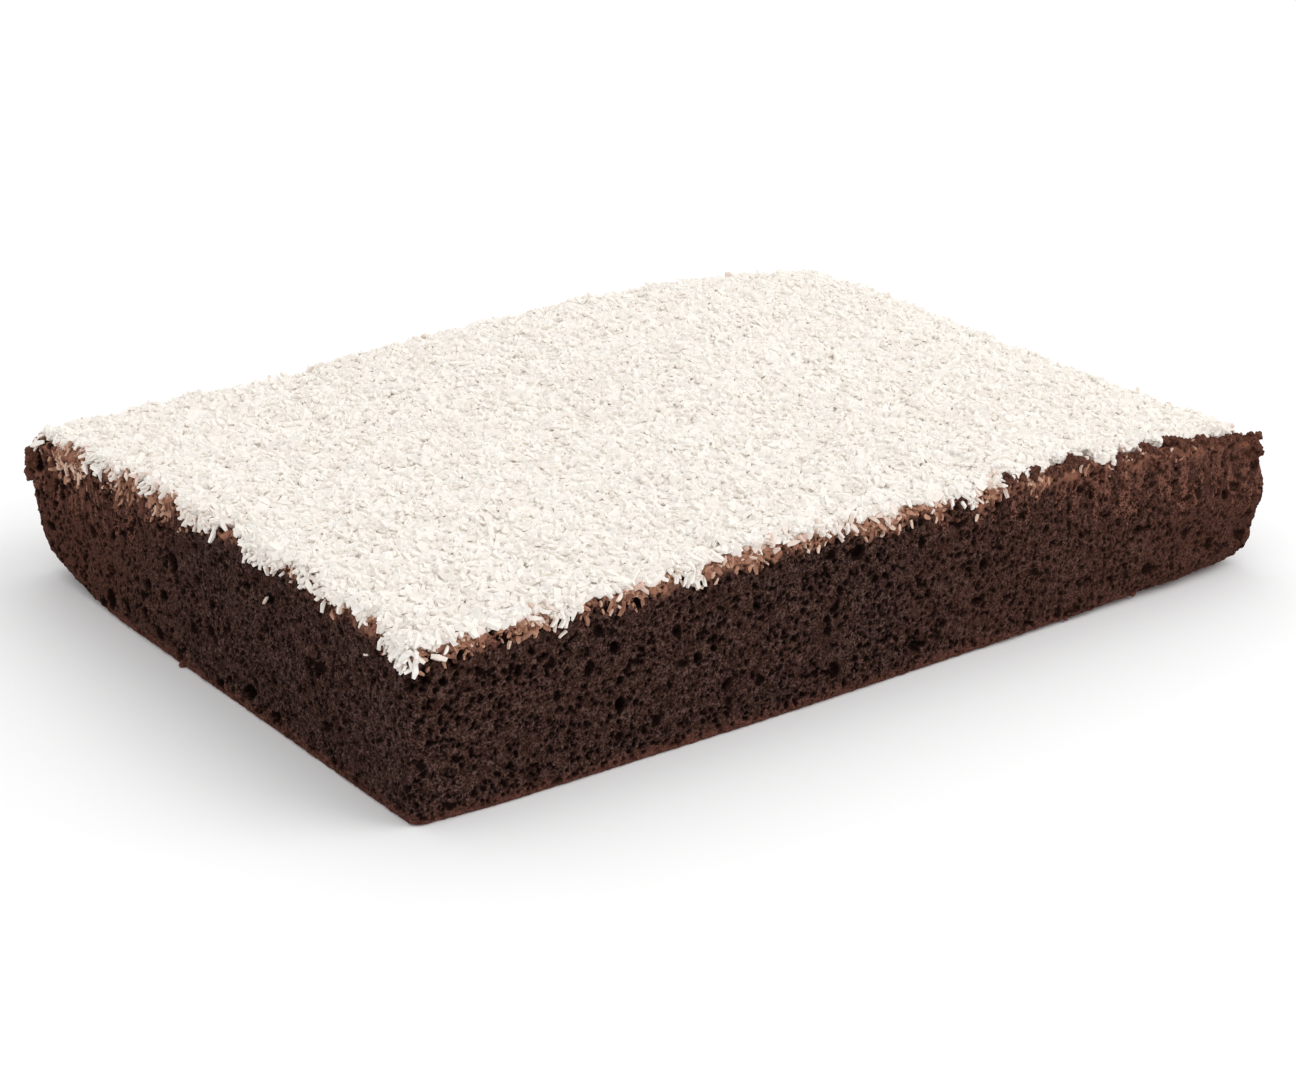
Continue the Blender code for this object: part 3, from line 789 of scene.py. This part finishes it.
def crumb_spots():
    """Where crumbs stand out: at two torn corners, at and under the rim, and at the lower edge."""
    dice = random.Random(5)
    spots = []
    for (cx, cy), count, lifts, spread, drop, radii in TORN_CORNERS:
        for _ in range(count):
            turn, lift = dice.uniform(0, math.tau), dice.uniform(*lifts)
            reach = dice.uniform(0.0, spread)
            x, y = cx + reach * math.cos(turn), cy + reach * math.sin(turn)
            spots.append((x, y, top_height(cx, cy) - drop + lift, dice.uniform(*radii)))
    for _ in range(RIM_CRUMBS):
        x = dice.uniform(RIM_CRUMB_START, HALF_X - 0.001)
        y = -HALF_Y + dice.uniform(RIM_CRUMB_INSETS[0], near_gap(x) + RIM_CRUMB_INSETS[1])
        radius = dice.uniform(*RIM_CRUMB_RADII)
        peak = RIM_PEAK * wave(x, 0, 12, RIM_PEAK_SPAN) + dice.uniform(-0.8, 0.3) * radius
        if near_gap(x) > LEAST_GAP:
            spots.append((x, y, rim_height(x, y) + peak, radius))
    spacing, share, radii = UNDER_RIM
    for x, y, nx, ny in outline((spacing,) * 4)[0]:
        if dice.random() < share:
            radius = dice.uniform(*radii)
            z = rim_height(x, y) - dice.uniform(*UNDER_RIM_DROPS)
            spots.append((x - nx * radius * 0.5, y - ny * radius * 0.5, z, radius))
    spacing, share, radii = LOWER_EDGE
    for x, y, _, _ in outline((spacing,) * 4)[0]:
        if dice.random() < share:
            radius = dice.uniform(*radii)
            ix, iy = inward(x, y)
            curl = corner_curl(x, y)
            inset = EDGE_MIDDLE * (LOWER_EDGE_RADIUS + CURL_INSET_SHARE * curl)
            z = EDGE_MIDDLE * (LOWER_EDGE_RADIUS + CURL_HEIGHT_SHARE * curl)
            spots.append((x + ix * inset, y + iy * inset, z + 0.4 * radius, radius))
    return spots


# ---- Materials ----
# Crumb colours. The grain's deepest and lightest are partly the crumb's own grain and partly painted: shade in
# fine pits, highlights on grain tops
DEEP_CRUMB_AND_PIT_SHADE = (0.006, 0.0024, 0.0018)
LIGHT_CRUMB_AND_HIGHLIGHT = (0.146, 0.084, 0.071)
RED_CRUMB = (0.070, 0.026, 0.018)
REDDER_LUMPS = (0.120, 0.045, 0.028)
END_CRUMB = (0.118, 0.046, 0.030)
BASE_CRUST = (0.165, 0.064, 0.046)
TORN_CRUMB = (0.205, 0.082, 0.054)
RUN_STAIN = (0.230, 0.098, 0.068)
GLAZE_STAIN, GLAZE_STAIN_AT_END = (0.46, 0.215, 0.135), (0.20, 0.075, 0.048)
# Painted shade that darkens the pores
PORE_SHADE_COLOUR = (0.005, 0.0020, 0.0016)
SOAKED_TINT = (0.55, 0.290, 0.190)
# Coconut, each as its darkest shade, its lightest and that of a marked shred
WHITE_SHADES = (0.875, 0.827, 0.768), (0.900, 0.856, 0.799), (0.80, 0.68, 0.56)
STAINED_SHADES = (0.16, 0.058, 0.034), (0.65, 0.360, 0.235), (0.82, 0.66, 0.55)
LOOSE_SHADES = (0.66, 0.52, 0.43), (0.88, 0.81, 0.73), (0.52, 0.27, 0.17)


def mottle_group():
    """Uneven patches, from 0 to 1, whose size and sharpness are given."""
    tree = bpy.data.node_groups.new("mottle", "ShaderNodeTree")
    socket(tree, "Scale", "Float", 100.0)
    socket(tree, "Sharpness", "Float", 0.5)
    socket(tree, "Patches", "Float", into=False)
    t = Tree(tree)
    given = t.add("NodeGroupInput").outputs
    spot = t.add("ShaderNodeTexCoord").outputs["Object"]
    grit = {"Vector": spot, "Scale": given["Scale"], "Detail": 3.0, "Roughness": 0.6}
    grain = t.add("ShaderNodeTexNoise", grit).outputs[0]
    edge = t.map(given["Sharpness"], 0.0, 1.0, 0.35, 0.04)
    low, high = t.math("SUBTRACT", 0.5, edge), t.math("ADD", 0.5, edge)
    t.add("NodeGroupOutput", {"Patches": t.map(grain, low, high)})
    return tree


MOTTLE = mottle_group()


def patches(t, scale, sharpness):
    return t.add("ShaderNodeGroup", {"Scale": scale, "Sharpness": sharpness}, node_tree=MOTTLE).outputs[0]


def mixed(t, share, low, high):
    """The colour that lies share of the way from low to high."""
    node = t.add("ShaderNodeMix", data_type="RGBA")
    for key, value in ((0, share), (6, low), (7, high)):
        if isinstance(value, bpy.types.NodeSocket):
            t.tree.links.new(value, node.inputs[key])
        else:
            node.inputs[key].default_value = (*value, 1.0) if key else value
    return node.outputs[2]


def new_material(name, roughness, specular):
    material = bpy.data.materials.new(name)
    material.use_nodes = True
    shader = material.node_tree.nodes["Principled BSDF"]
    shader.inputs["Roughness"].default_value = roughness
    shader.inputs["Specular IOR Level"].default_value = specular
    return material, Tree(material.node_tree), shader


def named_value(t, name):
    return t.add("ShaderNodeAttribute", attribute_name=name).outputs["Fac"]


def under_rim(t, colour, grains, x, y, z, ends, right_end):
    """The crumb's colour where the glaze ran and soaked in under the rim, and painted shade down in the pores.
    """
    below_rim = named_value(t, "below_rim")
    upright = t.add("ShaderNodeCombineXYZ", {0: x, 1: y, 2: t.times(z, 0.22)}).outputs[0]
    streaks = t.add("ShaderNodeTexNoise", {"Vector": upright, "Scale": 420.0, "Detail": 3.0}).outputs[0]
    streaks = t.map(streaks, 0.40, 0.58)
    reach = t.times(streaks, t.map(ends, 0.0, 0.4, 0.0035, 0.0180))
    run = t.map(t.math("SUBTRACT", below_rim, reach), 0.0015, -0.0025)
    run = t.times(t.times(run, streaks), t.map(grains, 0.0, 1.0, 0.35, 0.9))
    colour = mixed(t, run, colour, RUN_STAIN)
    soaked = t.math("ADD", patches(t, 300.0, 0.6), named_value(t, "glazed"))
    below = t.math("SUBTRACT", below_rim, t.times(soaked, 0.0026))
    uneven_stain = t.map(patches(t, 900.0, 0.6), 0.0, 1.0, 0.3, 1.0)
    stain = t.times(t.map(below, 0.0008, -0.0012), uneven_stain)
    colour = mixed(t, stain, colour, mixed(t, right_end, GLAZE_STAIN, GLAZE_STAIN_AT_END))
    # Painted shade in the pores, lighter at the torn right end
    pore = t.times(named_value(t, "pore"), t.map(right_end, 0.0, 0.9, 0.93, 0.60))
    return mixed(t, pore, colour, PORE_SHADE_COLOUR)


def crumb_material(name, torn):
    """Dark chocolate crumb: grainy and pitted, with shade painted into its pits and highlight onto its grains,
    redder at the ends and the base; on the sponge also stained under the rim, with painted shade in its pores.
    """
    material, t, shader = new_material(name, 0.85, 0.03)
    x, y, z = t.add("ShaderNodeSeparateXYZ", {0: t.add("ShaderNodeTexCoord").outputs["Object"]}).outputs
    grains = patches(t, 1900.0, 0.85)
    lumps = patches(t, 620.0, 0.75)
    broad = patches(t, 60.0, 0.3)
    # Grain and lumps: darker where the bump sinks in, as painted shade in the pits, and lighter on the tops, as
    # painted highlight, besides the crumb's own grain
    lit = t.times(grains, t.map(lumps, 0.0, 1.0, 0.22, 1.0))
    colour = mixed(t, lit, DEEP_CRUMB_AND_PIT_SHADE, LIGHT_CRUMB_AND_HIGHLIGHT)
    colour = mixed(t, t.times(broad, 0.30), colour, RED_CRUMB)
    colour = mixed(t, t.times(patches(t, 900.0, 0.9), 0.16), colour, REDDER_LUMPS)
    left_end = t.map(t.math("SUBTRACT", y, t.times(x, 0.6)), 0.080, 0.142)
    right_end = t.times(t.map(x, 0.000, 0.125), 0.90)
    ends = t.times(t.math("MAXIMUM", left_end, right_end), t.map(grains, 0.0, 1.0, 0.25, 0.75))
    colour = mixed(t, ends, colour, END_CRUMB)
    low = t.math("ADD", z, t.times(lumps, -0.0013))
    crust = t.times(t.map(low, 0.0030, 0.0002), t.map(grains, 0.0, 1.0, 0.40, 0.90))
    colour = mixed(t, crust, colour, BASE_CRUST)
    if torn:
        colour = mixed(t, t.times(patches(t, 700.0, 0.7), 0.62), colour, TORN_CRUMB)
    else:
        colour = under_rim(t, colour, grains, x, y, z, ends, right_end)
    t.tree.links.new(colour, shader.inputs["Base Color"])
    height = t.math("ADD", t.times(grains, 0.45), t.times(lumps, 1.0))
    bump = t.add("ShaderNodeBump", {"Strength": 0.8, "Distance": 0.00035, "Height": height})
    t.tree.links.new(bump.outputs[0], shader.inputs["Normal"])
    return material


def coconut_material(name, shades, marked, clumped=0.0, roughness=0.70):
    """Coconut: each shred a shade of its own unless clumped, with faint fibres, and a share marked."""
    material, t, shader = new_material(name, roughness, 0.15)
    low, high, mark = shades
    tone = named_value(t, "tone")
    own = t.times(tone, 1 - clumped)
    shared = t.times(patches(t, 420.0, 0.3), clumped)
    colour = mixed(t, t.math("ADD", own, shared), low, high)
    chosen = t.map(tone, 1 - marked, 1 - marked + 0.08)
    colour = mixed(t, t.times(chosen, patches(t, 600.0, 0.3)), colour, mark)
    soaked = t.math("MULTIPLY", named_value(t, "soaked"), t.map(tone, 0.0, 1.0, 0.1, 1.0), clamp=True)
    colour = mixed(t, soaked, colour, SOAKED_TINT)
    t.tree.links.new(colour, shader.inputs["Base Color"])
    shader.inputs["Subsurface Weight"].default_value = 0.35
    shader.inputs["Subsurface Radius"].default_value = (1.0, 0.95, 0.90)
    shader.inputs["Subsurface Scale"].default_value = 0.0006
    fibres = {"Strength": 0.3, "Distance": 0.00012, "Height": patches(t, 1800.0, 0.2)}
    t.tree.links.new(t.add("ShaderNodeBump", fibres).outputs[0], shader.inputs["Normal"])
    return material


# ---- The cake ----
def settle(piece, node, material=None):
    """Moves a finished piece to its place as the cuts stray, gives it its material if one is given, attaches it
    to the cake's body and hides the imported part it stands in for.
    """
    if material is not None:
        piece.data.materials.clear()
        piece.data.materials.append(material)
    points = np.empty(len(piece.data.vertices) * 3, dtype=np.float32)
    piece.data.vertices.foreach_get("co", points)
    points = stray(points.reshape(-1, 3)) + np.array((*PLAN_SHIFT, 0.0))
    piece.data.vertices.foreach_set("co", points.astype(np.float32).ravel())
    piece.data.update()
    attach(piece, "root")
    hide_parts(node)


# Shreds on the bands: the least of the glazed ones and what full glaze adds, how many white ones it hides
# and how far it soaks the rest, and for both the least share and the width of bare rim that leads to it
GLAZED_LEAST, GLAZED_MORE = 0.1, 1.3
GLAZE_HIDES, GLAZE_SOAKS = 0.9, 0.7
BARE_GLAZED, BARE_WHITE = (0.15, 0.0020), (0.02, 0.0024)
STREAK_START, STREAK_RUN = -0.005, 0.035
BAND_STRETCH = 0.9


def side_band(name, steps, patchy=0.0, glazed=False):
    """A passing surface down the sides: steps are (distance below the rim, cover, hang)."""
    points, cover, hang, soaked, faces = [], [], [], [], []
    plan = outline((BAND_SPACING,) * 4)[0]
    least, bare = BARE_GLAZED if glazed else BARE_WHITE
    for x, y, nx, ny in plan:
        near_left = fading(1.0, NEAR_LEFT_TUFT_REACH, math.hypot(x + HALF_X, y + HALF_Y))
        left = max(least, 1.0 - bare_rim(x, y) / bare)
        if glazed:
            thick = (GLAZED_LEAST + GLAZED_MORE * glaze(x, y)) * left
            streaked = fading(1.0, LEFT_END_REACH, x + HALF_X) * clamped((y - STREAK_START) / STREAK_RUN)
            soak = 0.0
        else:
            thick = 1.0 + patchy * uneven(BAND_WAVES, x, y) + near_left
            thick *= left
            thick *= 1 - GLAZE_HIDES * glaze(x, y)
            streaked = 0.0
            soak = GLAZE_SOAKS * glaze(x, y)
        for drop, share, hanging in steps:
            inset = max(0.0, RIM_RADIUS - drop) ** 2 / (2 * RIM_RADIUS)
            low = drop * (1.0 + BAND_STRETCH * near_left + BAND_STRETCH * streaked)
            points.append((x - nx * inset, y - ny * inset, rim_height(x, y) - low))
            cover.append(max(0.0, share * thick))
            hang.append(hanging)
            soaked.append(soak)
    rows = len(steps)
    for i in range(len(plan)):
        a, b = i * rows, (i + 1) % len(plan) * rows
        faces += [(a + k, a + k + 1, b + k + 1, b + k) for k in range(rows - 1)]
    band = mesh_object(name, points, faces)
    point_attributes(band.data, cover=cover, hang=hang, soaked=soaked)
    return band


SPONGE_PARTS = ("near_left", "near_right", "right_side", "far_side", "left_side")


def make_sponge():
    crumb = crumb_material("chocolate_crumb", False)
    tree = crumb_tree()
    *skin, starts = sponge_skin()
    grid = skin[0]
    near_middle = (starts[0] + starts[1]) // 2
    ends = (starts[0], near_middle, *starts[1:], len(grid))
    for part, first, last in zip(SPONGE_PARTS, ends, ends[1:]):
        columns = [k % len(grid) for k in range(first, last + 1)]
        plain = sponge_wedge("plain", *(values[columns] for values in skin))
        wedge = through_nodes(plain, tree, {"Finish": crumb}, "sponge_" + part)
        bpy.data.objects.remove(plain)
        settle(wedge, "sponge")
    heap = crumb_heap("torn_crumbs", crumb_spots(), 9)
    settle(heap, "sponge", crumb_material("torn_crumb", True))


LEAST_SIZE, MOST_SIZE = 0.85, 1.38
CORE_LIFTS = (-0.0002, 0.0002)
# What lies all over: name, shape as shred_shapes takes it, density, lean and seed
ALL_OVER = (
    ("long_shreds", (8, (0.0028, 0.0040), (0.0010, 0.0015), 0.00080, 0.06, 3, 1), 114000.0, 0.9, 2),
    ("bent_shreds", (8, (0.0026, 0.0040), (0.0010, 0.0015), 0.00080, 0.16, 4, 2), 94000.0, 0.9, 3),
    ("short_shreds", (8, (0.0017, 0.0028), (0.0011, 0.0017), 0.00085, 0.08, 3, 3), 156000.0, 1.0, 4),
    ("broad_flakes", (8, (0.0019, 0.0031), (0.0015, 0.0022), 0.00070, 0.08, 3, 4), 152000.0, 0.8, 5),
    ("fine_bits", (8, (0.0010, 0.0017), (0.0009, 0.0014), 0.00070, 0.05, 2, 5), 110000.0, 1.0, 6),
)
FRINGE_STEPS = ((-0.0006, 1.0, 0.1), (0.0008, 1.0, 0.2), (0.0022, 0.6, 0.4), (0.0045, 0.0, 0.6))
EDGE_STEPS = ((-0.0010, 1.0, 0.3), (0.0004, 1.0, 0.35), (0.0016, 0.35, 0.5), (0.0030, 0.0, 0.6))
SIDE_STEPS = ((0.0014, 1.0, 0.35), (0.0032, 0.45, 0.45), (0.0060, 0.15, 0.45), (0.0110, 0.0, 0.45))
STAINED_SHAPE = (12, (0.0009, 0.0027), (0.0005, 0.0010), 0.0005, 0.16, 3, 7)
EDGE_SHAPE = (8, (0.0019, 0.0031), (0.0006, 0.0010), 0.0006, 0.12, 3, 11)
STRAY_SHAPE = (8, (0.0014, 0.0026), (0.0005, 0.0009), 0.0005, 0.10, 3, 9)


def scatter(name, surface, tree, shape, density, lean, lifts, seed, finish):
    """One piece of the coconut: many shreds of one kind, spread over a surface."""
    kind = shred_shapes(name + "_shapes", *shape)
    values = {"Shreds": kind, "Per Square Metre": density, "Least Size": LEAST_SIZE, "Most Size": MOST_SIZE}
    values |= {"Lean": lean, "Least Lift": lifts[0], "Most Lift": lifts[1], "Seed": seed, "Finish": finish}
    settle(through_nodes(surface, tree, values, name), "coconut_layer")
    for used in list(kind.objects):
        bpy.data.objects.remove(used)
    bpy.data.collections.remove(kind)


def make_coconut():
    white = coconut_material("coconut_white", WHITE_SHADES, 0.015)
    stained = coconut_material("coconut_stained", STAINED_SHADES, 0.30, clumped=0.55, roughness=0.45)
    loose = coconut_material("coconut_loose", LOOSE_SHADES, 0.30)
    tree = shred_tree()
    core = coconut_core("coconut_core")
    for name, shape, density, lean, seed in ALL_OVER:
        scatter(name, core, tree, shape, density, lean, CORE_LIFTS, seed, white)
    fringe = side_band("fringe", FRINGE_STEPS, glazed=True)
    scatter("stained_bits", fringe, tree, STAINED_SHAPE, 950000.0, 0.9, (-0.0004, 0.0002), 8, stained)
    edge = side_band("edge", EDGE_STEPS, patchy=1.3)
    scatter("edge_shreds", edge, tree, EDGE_SHAPE, 850000.0, 1.9, (0.0001, 0.0009), 12, white)
    sides = side_band("sides", SIDE_STEPS, patchy=0.8)
    scatter("stray_shreds", sides, tree, STRAY_SHAPE, 32000.0, 0.25, (0.0000, 0.0003), 10, loose)
    for band in (fringe, edge, sides):
        bpy.data.objects.remove(band)
    settle(core, "coconut_layer", white)


# ---- Floor, light and camera ----
FLOOR_REACH = 6.0
FLOOR_COLOUR = (0.94, 0.94, 0.94, 1.0)
SKY_STRENGTH = 0.91
# Each lamp's name, place, width in metres and power in watts
LAMPS = (
    ("key", (1.00, -1.1, 1.35), 1.3, 10.9),
    ("top", (0.1, 0.2, 1.9), 1.4, 2.5),
    ("back", (0.6, 1.5, 1.3), 1.2, 2.0),
)
LAMP_AIM = (0, 0, 0.02)
AZIMUTH, ELEVATION = -35.895, 21.609
CAMERA_DISTANCE, CAMERA_RIGHT, CAMERA_UP = 0.76685, 0.00025, 0.00808
FRAME_WIDTH, FOCAL_LENGTH = 1296, 2998.3
SENSOR_WIDTH = 36.0


def make_stage():
    shape = bmesh.new()
    bmesh.ops.create_grid(shape, x_segments=1, y_segments=1, size=FLOOR_REACH)
    floor = linked("floor", shape_mesh("floor", shape))
    material, _, shader = new_material("pale_floor", 0.9, 0.1)
    shader.inputs["Base Color"].default_value = FLOOR_COLOUR
    floor.data.materials.append(material)
    world = bpy.data.worlds.new("studio")
    bpy.context.scene.world = world
    world.use_nodes = True
    back = world.node_tree.nodes["Background"]
    back.inputs["Color"].default_value = (1.0, 1.0, 1.0, 1.0)
    back.inputs["Strength"].default_value = SKY_STRENGTH
    for name, place, size, power in LAMPS:
        lamp = bpy.data.lights.new(name, "AREA")
        lamp.size = size
        lamp.energy = power
        made = linked(name, lamp)
        made.location = place
        made.rotation_euler = (Vector(LAMP_AIM) - made.location).to_track_quat("-Z", "Y").to_euler()
    bpy.context.scene.view_settings.view_transform = "Standard"


def make_camera():
    azimuth, elevation = math.radians(AZIMUTH), math.radians(ELEVATION)
    level = Vector((math.sin(azimuth), -math.cos(azimuth), 0.0))
    back = level * math.cos(elevation) + Vector((0, 0, math.sin(elevation)))
    turn = (-back).to_track_quat("-Z", "Y")
    right, up = turn @ Vector((1, 0, 0)), turn @ Vector((0, 1, 0))
    lens = bpy.data.cameras.new("camera")
    lens.lens = FOCAL_LENGTH / FRAME_WIDTH * SENSOR_WIDTH
    lens.sensor_width = SENSOR_WIDTH
    lens.sensor_fit = "HORIZONTAL"
    camera = linked("camera", lens)
    offset = back * CAMERA_DISTANCE + right * CAMERA_RIGHT + up * CAMERA_UP
    camera.location = offset + Vector((*PLAN_SHIFT, 0.0))
    camera.rotation_mode = "QUATERNION"
    camera.rotation_quaternion = turn
    bpy.context.scene.camera = camera


make_sponge()
make_coconut()
make_stage()
make_camera()
